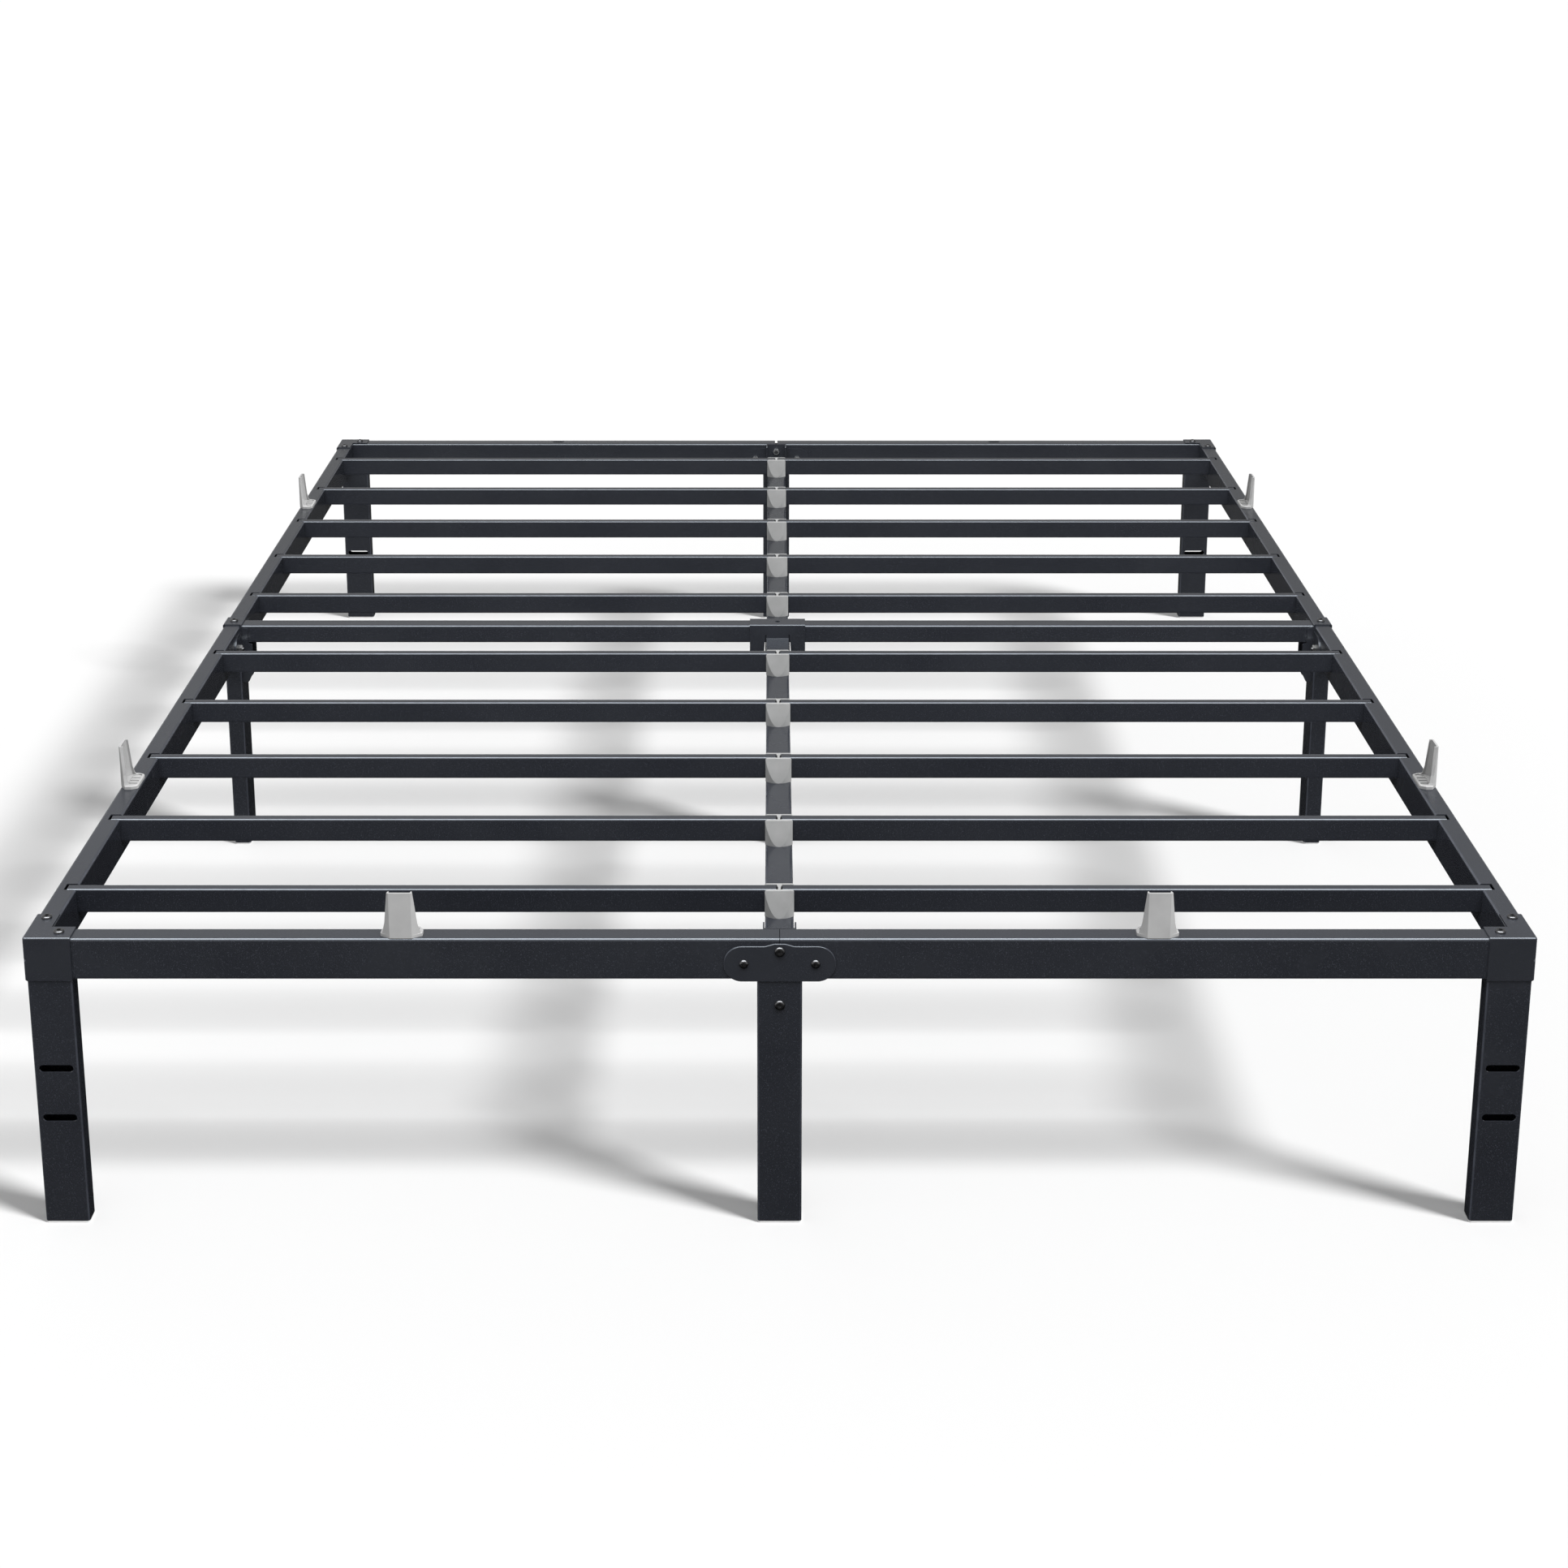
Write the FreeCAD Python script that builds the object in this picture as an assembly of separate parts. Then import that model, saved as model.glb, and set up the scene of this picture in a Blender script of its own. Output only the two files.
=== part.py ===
"""Metal platform bed frame for a 60 x 80 inch mattress.

Millimetres. +Z is up, the foot end of the bed is at -Y and the head end at +Y. The origin is on the
floor at the middle of the footprint. Every rail, cross rail and spine is two tubes that meet at the
middle of the bed, and the slats are pairs of tubes that meet over the spine.
"""
import FreeCAD, Part
import math
import os

# ---- overall size -------------------------------------------------------------------------------
FRAME_WIDTH = 1520.0
FRAME_LENGTH = 2028.0
RAIL_TOP = 320.0
HALF_WIDTH = FRAME_WIDTH / 2
HALF_LENGTH = FRAME_LENGTH / 2

# ---- tube sections ------------------------------------------------------------------------------
RAIL_HEIGHT = 45.0
END_RAIL_DEPTH = 25.0
SIDE_RAIL_WIDTH = 22.0
LEG_WIDTH = 45.6
LEG_DEPTH = 22.0
CROSS_RAIL_SIZE = 25.0
CROSS_RAIL_TOP = 319.0
SPINE_SIZE = 30.0
SPINE_TOP = 291.0
SLAT_THICKNESS = 12.2
SLAT_HEIGHT = 27.0
RAIL_WALL = 1.5
SLAT_WALL = 1.1
RAIL_EDGE_RADIUS = 3.0
SLAT_EDGE_RADIUS = 2.4
HALF_GAP = 0.3
BACK_HALF_GAP = 2.0
MIN_BORE_RADIUS = 0.5

# ---- derived levels -----------------------------------------------------------------------------
RAIL_BOTTOM = RAIL_TOP - RAIL_HEIGHT
SIDE_INNER = HALF_WIDTH - SIDE_RAIL_WIDTH
END_INNER = HALF_LENGTH - END_RAIL_DEPTH
LEG_INNER = HALF_LENGTH - LEG_DEPTH
SPINE_BOTTOM = SPINE_TOP - SPINE_SIZE
SLAT_BOTTOM = RAIL_TOP - SLAT_HEIGHT
CROSS_RAIL_BOTTOM = CROSS_RAIL_TOP - CROSS_RAIL_SIZE

# ---- slats and their seats ----------------------------------------------------------------------
SLATS_PER_HALF = 5
FIRST_SLAT_Y = 127.0
SLAT_PITCH = 190.0
SLAT_ENGAGEMENT = 10.0
SLAT_INNER_END = 3.4
NOTCH_LENGTH = 15.0
NOTCH_REACH = 13.0

# ---- sheet metal --------------------------------------------------------------------------------
SHEET = 1.6
CORNER_ARM_X = 48.0
CORNER_ARM_Y = 57.3
CORNER_EDGE_RADIUS = 2.6
CORNER_TOP_ROUND = 2.0
CORNER_CHAMFER = 1.4
CORNER_NICK_RADIUS = 2.6
CORNER_NICK_Z = 297.6
FOLD_RADIUS = 2.0
PLATE_HALF_LENGTH = 56.5
PLATE_DROP = 1.5
PLATE_TOP = 312.0
PLATE_END_RADIUS = 18.4
PLATE_EDGE_ROUND = 0.8
HUMP_TOP = 314.8
HUMP_FOOT_HALF = 15.0
HUMP_TOP_HALF = 5.5
HUMP_FOOT_RADIUS = 10.0
HUMP_TOP_RADIUS = 4.0
SIDE_CAP_LENGTH = 32.0
CRADLE_WIDTH = 34.0
CRADLE_REACH = 15.7
CRADLE_TOP = 319.4
CRADLE_TOE = 6.0
POCKET_REACH = 8.0
POCKET_SHELF_REACH = 13.5
POCKET_TOP = 318.0
POCKET_TOP_SLOPE = 3.0
POCKET_TOE_HEIGHT = 14.0
POCKET_TOE_DEPTH = 7.0
POCKET_PLAY = 0.3
BRACKET_FOOT_Z = 238.0
TAB_HALF_WIDTH = 14.6
TAB_LAP = 10.0
STRAP_LAP = 6.0

# ---- centre saddle ------------------------------------------------------------------------------
SADDLE_LENGTH = 76.0
SADDLE_SKIRT_Z = 262.0
SADDLE_HOLE_RADIUS = 3.5
SADDLE_WINDOW_TOP = 306.0
SADDLE_WINDOW_TOP_HALF = 16.9
SADDLE_WINDOW_LOW_HALF = 19.6
SADDLE_WINDOW_ROUND = 1.1
FLAP_HALF_WIDTH = 15.2
FLAP_FOLD_Z = 300.5
FLAP_FOLD_RADIUS = 0.3
FLAP_TIP_Y = 50.0

# ---- carrier on the middle leg ------------------------------------------------------------------
CARRIER_HALF_LENGTH = 35.0
CARRIER_WALL_HEIGHT = 19.0
CARRIER_STUB_DEPTH = 30.0
CARRIER_STUB_RADIUS = 1.6

# ---- leg details --------------------------------------------------------------------------------
FOOT_FLANGE = 2.2
FOOT_PLUG = 16.0
FOOT_INSET = 0.2
FOOT_EDGE_ROUND = 0.7
FOOT_PLUG_ROUND = 2.0
LEG_SLOT_LENGTH = 35.0
LEG_SLOT_HEIGHT = 8.1
LEG_SLOT_LEVELS = (120.5, 176.0)
LEG_SCREW_Z = 247.0

# ---- fasteners ----------------------------------------------------------------------------------
SHANK_RADIUS = 3.0
HOLE_RADIUS = 3.1
SCREW_HEAD_RADIUS = 5.4
SCREW_HEAD_HEIGHT = 2.6
SCREW_HEAD_ROUND = 1.9
SCREW_SOCKET = 4.0
SCREW_SOCKET_DEPTH = 1.5
DOME_RADIUS = 4.8
DOME_HEIGHT = 2.4
DOME_ROUND = 2.3
NUT_ACROSS_FLATS = 10.0
NUT_HEIGHT = 5.0
BOLT_SPREAD = 36.2
BOLT_Z = 293.0
JOINT_SCREW_Z = 306.5
SHANK_PAST_NUT = 1.5
CORNER_SCREW_LENGTH = 12.0
CORNER_SCREW_X = 34.0
CORNER_SCREW_Y = 47.0

# ---- mattress stops -----------------------------------------------------------------------------
STOP_END_X = 381.0
STOP_SIDE_Y = 594.0
STOP_SLOT_LENGTH = 20.0
STOP_SLOT_WIDTH = 8.0
STOP_SLOT_INSET = 11.0
STOP_PEG_DEPTH = 5.0
STOP_BASE_HEIGHT = 4.2
STOP_BASE_CHAMFER = 0.9
STOP_FACE_HALF = 11.2
STOP_FACE_INSET = 0.4
STOP_WALL = 2.0
STOP_WALL_SKEW = 1.3
STOP_FLANGE_LEAN = 1.0
# Each row: level above the rail, half width, shoulder depth, flange depth.
STOP_SECTIONS = (
    (1.0, 20.6, 6.2, 14.0),
    (6.5, 18.6, 5.6, 9.8),
    (15.0, 16.6, 4.6, 8.0),
    (49.0, 13.0, 1.7, 5.4))
# The base outline's right half, from the outer face inwards: half width, depth, corner radius.
STOP_BASE_OUTLINE = ((11.2, 0.4, 1.0), (21.3, 6.6, 1.5), (21.3, 14.0, 3.0), (17.5, 21.2, 3.0))
# The recess in the base's top, its right half from the tongue inwards: half width, depth, corner radius.
STOP_RECESS_OUTLINE = ((14.4, 8.4, 1.0), (18.0, 14.2, 1.5), (15.6, 18.9, 1.5))
STOP_RECESS_DEPTH = 1.5
STOP_RIB_SPACING = 8.6
STOP_RIB_WIDTH = 1.6
STOP_RIB_DROP = 0.4
FIT = 0.3
SLOT_END_TRIM = 0.01

# ---- plastic slat clips -------------------------------------------------------------------------
CLIP_HALF_WIDTH = 15.4
CLIP_TOP = 319.8
CLIP_FLOOR = 2.0
CLIP_SIDE_Y = 9.9
CLIP_BULGE_Y = 17.1
CLIP_WALL_TOP_Y = 9.4
CLIP_CHANNEL_HALF = 6.25
CLIP_DIVIDER_HALF = 1.3
CLIP_WEDGE_HALF = 3.0
CLIP_CORNER_RADIUS = 2.5
CLIP_FOOT_RADIUS = 0.6
CLIP_LIP_RADIUS = 0.8
CLIP_WEDGE_START = -1.0

X_AXIS = FreeCAD.Vector(1, 0, 0)
Y_AXIS = FreeCAD.Vector(0, 1, 0)
Z_AXIS = FreeCAD.Vector(0, 0, 1)
ORIGIN = FreeCAD.Vector(0, 0, 0)
CUT_MARGIN = 5.0


# ---- small shape helpers ------------------------------------------------------------------------
def vec(x, y, z):
    return FreeCAD.Vector(x, y, z)


def box(x_range, y_range, z_range):
    low = vec(min(x_range), min(y_range), min(z_range))
    size = [abs(pair[1] - pair[0]) for pair in (x_range, y_range, z_range)]
    return Part.makeBox(size[0], size[1], size[2], low)


def rounded_wire(points, radii):
    """Closed wire through flat points, each corner rounded by its own radius."""
    starts = []
    ends = []
    middles = []
    count = len(points)
    for index in range(count):
        corner = points[index]
        before = (points[index - 1] - corner).normalize()
        after = (points[(index + 1) % count] - corner).normalize()
        radius = radii[index]
        half_angle = before.getAngle(after) / 2
        reach = radius / math.tan(half_angle)
        bisector = (before + after).normalize()
        centre = corner + bisector * (radius / math.sin(half_angle))
        starts.append(corner + before * reach)
        ends.append(corner + after * reach)
        middles.append(centre - bisector * radius)
    edges = []
    for index in range(count):
        if radii[index] > 0:
            edges.append(Part.Arc(starts[index], middles[index], ends[index]).toShape())
        following = starts[(index + 1) % count]
        if ends[index].distanceToPoint(following) > 1e-6:
            edges.append(Part.makeLine(ends[index], following))
    return Part.Wire(edges)


def prism(points, radii, travel):
    if not isinstance(radii, (list, tuple)):
        radii = [radii] * len(points)
    return Part.Face(rounded_wire(points, radii)).extrude(travel)


def rectangle(axis, at, first, second):
    """Corners of a rectangle square to an axis; first and second are the ranges on the other axes."""
    flat = [(first[0], second[0]), (first[1], second[0]), (first[1], second[1]), (first[0], second[1])]
    if axis == "x":
        return [vec(at, u, v) for u, v in flat]
    if axis == "y":
        return [vec(u, at, v) for u, v in flat]
    return [vec(u, v, at) for u, v in flat]


def tube(axis, span, first, second, wall, radius):
    """Rectangular tube along an axis, with rounded edges and open ends."""
    travel = {"x": X_AXIS, "y": Y_AXIS, "z": Z_AXIS}[axis] * (span[1] - span[0])
    outer = prism(rectangle(axis, span[0], first, second), radius, travel)
    bore_first = (first[0] + wall, first[1] - wall)
    bore_second = (second[0] + wall, second[1] - wall)
    bore_radius = max(radius - wall, MIN_BORE_RADIUS)
    bore = prism(rectangle(axis, span[0], bore_first, bore_second), bore_radius, travel)
    return outer.cut(bore)


def cylinder(radius, start, travel):
    return Part.makeCylinder(radius, travel.Length, start, travel)


def mirror_x(shape):
    return shape.mirror(ORIGIN, X_AXIS)


def mirror_y(shape):
    return shape.mirror(ORIGIN, Y_AXIS)


def flat_edges(shape, axis, level):
    """Edges that lie in the plane where the axis coordinate equals level."""
    def value(point):
        return {"x": point.x, "y": point.y, "z": point.z}[axis]

    found = []
    for edge in shape.Edges:
        middle = edge.valueAt((edge.FirstParameter + edge.LastParameter) / 2)
        spots = [vertex.Point for vertex in edge.Vertexes] + [middle]
        if all(abs(value(spot) - level) < 1e-4 for spot in spots):
            found.append(edge)
    return found


# ---- rails --------------------------------------------------------------------------------------
def slat_levels():
    return [FIRST_SLAT_Y + SLAT_PITCH * index for index in range(SLATS_PER_HALF)]


def stop_slot(x, y, along):
    """Cutter for the oblong hole in a rail's top wall that takes a mattress stop's peg."""
    length = STOP_SLOT_LENGTH / 2
    width = STOP_SLOT_WIDTH / 2
    span_x = (x - length, x + length) if along == "x" else (x - width, x + width)
    span_y = (y - width, y + width) if along == "x" else (y - length, y + length)
    corners = rectangle("z", RAIL_TOP - CUT_MARGIN, span_x, span_y)
    return prism(corners, width - SLOT_END_TRIM, Z_AXIS * (2 * CUT_MARGIN))


def top_hole(x, y):
    """Cutter for a screw hole down through a rail's top wall and any sheet on it."""
    return cylinder(HOLE_RADIUS, vec(x, y, RAIL_TOP - CUT_MARGIN), Z_AXIS * (2 * CUT_MARGIN))


def end_rail_right(half_gap):
    """Right half of the front rail, its inner end half_gap away from the centre."""
    rail = tube(
        "x", (half_gap, SIDE_INNER), (-HALF_LENGTH, -END_INNER), (RAIL_BOTTOM, RAIL_TOP),
        RAIL_WALL, RAIL_EDGE_RADIUS)
    through = Y_AXIS * (END_RAIL_DEPTH + 2 * CUT_MARGIN)
    outside = -HALF_LENGTH - CUT_MARGIN
    rail = rail.cut(cylinder(HOLE_RADIUS, vec(BOLT_SPREAD, outside, BOLT_Z), through))
    rail = rail.cut(cylinder(HOLE_RADIUS, vec(0, outside, JOINT_SCREW_Z), through))
    rail = rail.cut(stop_slot(STOP_END_X, -HALF_LENGTH + STOP_SLOT_INSET, "x"))
    screw_x, screw_y = corner_screw_places()[0]
    return rail.cut(top_hole(screw_x, screw_y))


def side_rail_front():
    """Front half of the right side rail, notched from inside for the slat ends."""
    rail = tube(
        "y", (-HALF_LENGTH, -HALF_GAP), (SIDE_INNER, HALF_WIDTH), (RAIL_BOTTOM, RAIL_TOP),
        RAIL_WALL, RAIL_EDGE_RADIUS)
    for y in slat_levels():
        notch_x = (SIDE_INNER - CUT_MARGIN, SIDE_INNER + NOTCH_REACH)
        notch_y = (-y - NOTCH_LENGTH / 2, -y + NOTCH_LENGTH / 2)
        rail = rail.cut(box(notch_x, notch_y, (SLAT_BOTTOM, RAIL_TOP + CUT_MARGIN)))
    through = X_AXIS * (SIDE_RAIL_WIDTH + 2 * CUT_MARGIN)
    rail = rail.cut(cylinder(HOLE_RADIUS, vec(SIDE_INNER - CUT_MARGIN, -BOLT_SPREAD, BOLT_Z), through))
    rail = rail.cut(stop_slot(HALF_WIDTH - STOP_SLOT_INSET, -STOP_SIDE_Y, "y"))
    middle_x = HALF_WIDTH - SIDE_RAIL_WIDTH / 2
    screw_x, screw_y = corner_screw_places()[1]
    for x, y in ((screw_x, screw_y), (middle_x, 0)):
        rail = rail.cut(top_hole(x, y))
    return rail


def cross_rail_right():
    outer_end = SIDE_INNER - SHEET - FIT
    half = CROSS_RAIL_SIZE / 2
    return tube(
        "x", (HALF_GAP, outer_end), (-half, half), (CROSS_RAIL_BOTTOM, CROSS_RAIL_TOP),
        RAIL_WALL, RAIL_EDGE_RADIUS)


def spine_front():
    half = SPINE_SIZE / 2
    outer_end = -END_INNER + SHEET + FIT
    return tube(
        "y", (outer_end, -HALF_GAP), (-half, half), (SPINE_BOTTOM, SPINE_TOP),
        RAIL_WALL, RAIL_EDGE_RADIUS)


def slat_right(y):
    half = SLAT_THICKNESS / 2
    outer_end = SIDE_INNER + SLAT_ENGAGEMENT
    return tube(
        "x", (SLAT_INNER_END, outer_end), (y - half, y + half), (SLAT_BOTTOM, RAIL_TOP),
        SLAT_WALL, SLAT_EDGE_RADIUS)


# ---- legs ---------------------------------------------------------------------------------------
def leg_slots(centre_x, wall_y):
    """Cutter for the two oblong headboard slots, through both walls of a corner leg."""
    half = LEG_SLOT_LENGTH / 2
    cutters = []
    for level in LEG_SLOT_LEVELS:
        span_z = (level - LEG_SLOT_HEIGHT / 2, level + LEG_SLOT_HEIGHT / 2)
        corners = rectangle("y", wall_y - CUT_MARGIN, (centre_x - half, centre_x + half), span_z)
        travel = Y_AXIS * (LEG_DEPTH + 2 * CUT_MARGIN)
        cutters.append(prism(corners, LEG_SLOT_HEIGHT / 2 - SLOT_END_TRIM, travel))
    return Part.makeCompound(cutters)


def corner_leg():
    """Front right leg."""
    span_x = (HALF_WIDTH - LEG_WIDTH, HALF_WIDTH)
    span_z = (FOOT_FLANGE, RAIL_BOTTOM - SHEET)
    leg = tube("z", span_z, span_x, (-HALF_LENGTH, -LEG_INNER), RAIL_WALL, RAIL_EDGE_RADIUS)
    return leg.cut(leg_slots(HALF_WIDTH - LEG_WIDTH / 2, -HALF_LENGTH))


def end_centre_leg():
    """Leg under the joint of the front rail."""
    half = LEG_WIDTH / 2
    leg = tube(
        "z", (FOOT_FLANGE, RAIL_BOTTOM), (-half, half), (-HALF_LENGTH, -LEG_INNER),
        RAIL_WALL, RAIL_EDGE_RADIUS)
    start = vec(0, -HALF_LENGTH - CUT_MARGIN, LEG_SCREW_Z)
    return leg.cut(cylinder(HOLE_RADIUS, start, Y_AXIS * (LEG_DEPTH + 2 * CUT_MARGIN)))


def side_centre_leg():
    """Leg under the joint of the right side rail."""
    half = LEG_WIDTH / 2
    leg = tube(
        "z", (FOOT_FLANGE, RAIL_BOTTOM), (HALF_WIDTH - LEG_DEPTH, HALF_WIDTH), (-half, half),
        RAIL_WALL, RAIL_EDGE_RADIUS)
    start = vec(SIDE_INNER - CUT_MARGIN, 0, LEG_SCREW_Z)
    return leg.cut(cylinder(HOLE_RADIUS, start, X_AXIS * (LEG_DEPTH + 2 * CUT_MARGIN)))


def middle_leg():
    """Leg under the middle of the bed, where the spine halves meet."""
    half_x = LEG_DEPTH / 2
    half_y = LEG_WIDTH / 2
    return tube(
        "z", (FOOT_FLANGE, SPINE_BOTTOM - SHEET), (-half_x, half_x), (-half_y, half_y),
        RAIL_WALL, RAIL_EDGE_RADIUS)


def foot_cap(centre_x, centre_y, size_x, size_y):
    """Plastic cap: a plug inside the tube and a flange that the leg stands on."""
    rim_x = size_x / 2 - FOOT_INSET
    rim_y = size_y / 2 - FOOT_INSET
    span_x = (centre_x - rim_x, centre_x + rim_x)
    span_y = (centre_y - rim_y, centre_y + rim_y)
    flange = prism(rectangle("z", 0, span_x, span_y), RAIL_EDGE_RADIUS, Z_AXIS * FOOT_FLANGE)
    flange = flange.makeFillet(FOOT_EDGE_ROUND, flat_edges(flange, "z", 0))
    gap = RAIL_WALL + FIT - FOOT_INSET
    plug_x = (span_x[0] + gap, span_x[1] - gap)
    plug_y = (span_y[0] + gap, span_y[1] - gap)
    plug = prism(rectangle("z", FOOT_FLANGE, plug_x, plug_y), FOOT_PLUG_ROUND, Z_AXIS * FOOT_PLUG)
    return flange.fuse(plug)


def foot_caps():
    corner_x = HALF_WIDTH - LEG_WIDTH / 2
    end_y = HALF_LENGTH - LEG_DEPTH / 2
    side_x = HALF_WIDTH - LEG_DEPTH / 2
    caps = []
    for x in (-corner_x, 0, corner_x):
        for y in (-end_y, end_y):
            caps.append(foot_cap(x, y, LEG_WIDTH, LEG_DEPTH))
    for x in (-side_x, 0, side_x):
        caps.append(foot_cap(x, 0, LEG_DEPTH, LEG_WIDTH))
    return Part.makeCompound(caps)


# ---- sheet-metal brackets -----------------------------------------------------------------------
def corner_screw_places():
    """Screw places on the front right corner: on the end rail, then on the side rail."""
    on_end = (HALF_WIDTH + SHEET - CORNER_SCREW_X, -HALF_LENGTH + END_RAIL_DEPTH / 2)
    on_side = (HALF_WIDTH - SIDE_RAIL_WIDTH / 2, -HALF_LENGTH + CORNER_SCREW_Y)
    return (on_end, on_side)


def corner_outline(skin, end_margin):
    """L-shaped outline over both rails, grown outward by skin and past both arm ends by end_margin."""
    outer_x = HALF_WIDTH + skin
    outer_y = -HALF_LENGTH - skin
    arm_x = HALF_WIDTH + SHEET - CORNER_ARM_X - end_margin
    arm_y = -HALF_LENGTH - SHEET + CORNER_ARM_Y + end_margin
    return [
        (arm_x, outer_y), (outer_x, outer_y), (outer_x, arm_y),
        (SIDE_INNER, arm_y), (SIDE_INNER, -END_INNER), (arm_x, -END_INNER)]


def corner_bracket():
    """Front right corner: a folded box that both rails push into, on top of the leg."""
    low = RAIL_BOTTOM - SHEET
    high = RAIL_TOP + SHEET
    points = [vec(x, y, low) for x, y in corner_outline(SHEET, 0)]
    shell = prism(points, [0, CORNER_EDGE_RADIUS, 0, 0, 0, 0], Z_AXIS * (high - low))
    outer = [edge for edge in flat_edges(shell, "z", high) if is_outer_edge(edge)]
    shell = shell.makeFillet(CORNER_TOP_ROUND, outer)
    outer = [edge for edge in flat_edges(shell, "z", low) if is_outer_edge(edge)]
    shell = shell.makeChamfer(CORNER_CHAMFER, outer)
    inside = [vec(x, y, RAIL_BOTTOM) for x, y in corner_outline(0, CUT_MARGIN)]
    inside[3] = inside[3] - X_AXIS * CUT_MARGIN
    inside[4] = inside[4] + vec(-CUT_MARGIN, CUT_MARGIN, 0)
    inside[5] = inside[5] + Y_AXIS * CUT_MARGIN
    shell = shell.cut(prism(inside, 0, Z_AXIS * RAIL_HEIGHT))
    nick = vec(HALF_WIDTH + SHEET, -HALF_LENGTH - SHEET, CORNER_NICK_Z)
    shell = shell.cut(Part.makeSphere(CORNER_NICK_RADIUS, nick))
    for x, y in corner_screw_places():
        shell = shell.cut(top_hole(x, y))
    return shell


def is_outer_edge(edge):
    """True for edges along the two outside faces of the corner bracket."""
    middle = edge.valueAt((edge.FirstParameter + edge.LastParameter) / 2)
    return middle.x > HALF_WIDTH or middle.y < -HALF_LENGTH


def joint_plate_outline():
    """Stadium plate with a low hump over the joint screw, as (along, z) points and their radii."""
    bottom = RAIL_BOTTOM - PLATE_DROP
    points = [
        (-PLATE_HALF_LENGTH, bottom), (PLATE_HALF_LENGTH, bottom),
        (PLATE_HALF_LENGTH, PLATE_TOP), (HUMP_FOOT_HALF, PLATE_TOP), (HUMP_TOP_HALF, HUMP_TOP),
        (-HUMP_TOP_HALF, HUMP_TOP), (-HUMP_FOOT_HALF, PLATE_TOP), (-PLATE_HALF_LENGTH, PLATE_TOP)]
    end = PLATE_END_RADIUS
    foot = HUMP_FOOT_RADIUS
    top = HUMP_TOP_RADIUS
    return points, [end, end, end, foot, top, top, foot, end]


def joint_holes_on_end(face_y):
    """Cutter for the two bolts and the joint screw, through a sheet at face_y."""
    holes = []
    for x, z in ((-BOLT_SPREAD, BOLT_Z), (BOLT_SPREAD, BOLT_Z), (0, JOINT_SCREW_Z)):
        holes.append(cylinder(HOLE_RADIUS, vec(x, face_y - CUT_MARGIN, z), Y_AXIS * (2 * CUT_MARGIN)))
    return Part.makeCompound(holes)


def joint_plate_front():
    """Outer plate over the joint of the front rail."""
    outline, radii = joint_plate_outline()
    points = [vec(u, -HALF_LENGTH, z) for u, z in outline]
    plate = prism(points, radii, Y_AXIS * (-SHEET))
    plate = plate.makeFillet(PLATE_EDGE_ROUND, flat_edges(plate, "y", -HALF_LENGTH - SHEET))
    return plate.cut(joint_holes_on_end(-HALF_LENGTH))


def spine_bracket_front():
    """Inner bracket of the front rail: joint plate, leg tab and the cradle that holds the spine."""
    face = -END_INNER
    half = CRADLE_WIDTH / 2
    outline, radii = joint_plate_outline()
    bracket = prism([vec(u, face, z) for u, z in outline], radii, Y_AXIS * SHEET)
    bracket = bracket.cut(joint_holes_on_end(face))
    bracket = bracket.fuse(box((-half, half), (face, face + SHEET), (RAIL_BOTTOM - SHEET, CRADLE_TOP)))
    leg_face = -LEG_INNER
    bracket = bracket.fuse(box((-half, half), (leg_face, face + SHEET), (RAIL_BOTTOM - SHEET, RAIL_BOTTOM)))
    bracket = bracket.fuse(
        box((-half, half), (leg_face, leg_face + SHEET), (BRACKET_FOOT_Z, RAIL_BOTTOM)))
    reach = face + SHEET + CRADLE_REACH
    side = [
        (face, CRADLE_TOP), (face, RAIL_BOTTOM), (leg_face, RAIL_BOTTOM), (leg_face, BRACKET_FOOT_Z),
        (face + CRADLE_TOE, BRACKET_FOOT_Z), (reach, SPINE_BOTTOM - SHEET), (reach, CRADLE_TOP)]
    radii = [0, 0, 0, 0, 0, FOLD_RADIUS, FOLD_RADIUS]
    for x in (-half, half - SHEET):
        wall = prism([vec(x, y, z) for y, z in side], radii, X_AXIS * SHEET)
        bracket = bracket.fuse(wall)
    shelf = box((-half, half), (face, reach - FOLD_RADIUS), (SPINE_BOTTOM - SHEET, SPINE_BOTTOM))
    bracket = bracket.fuse(shelf)
    for z in (JOINT_SCREW_Z, LEG_SCREW_Z):
        start = vec(0, leg_face - CUT_MARGIN, z)
        bracket = bracket.cut(cylinder(HOLE_RADIUS, start, Y_AXIS * (3 * CUT_MARGIN)))
    return bracket.removeSplitter()


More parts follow.
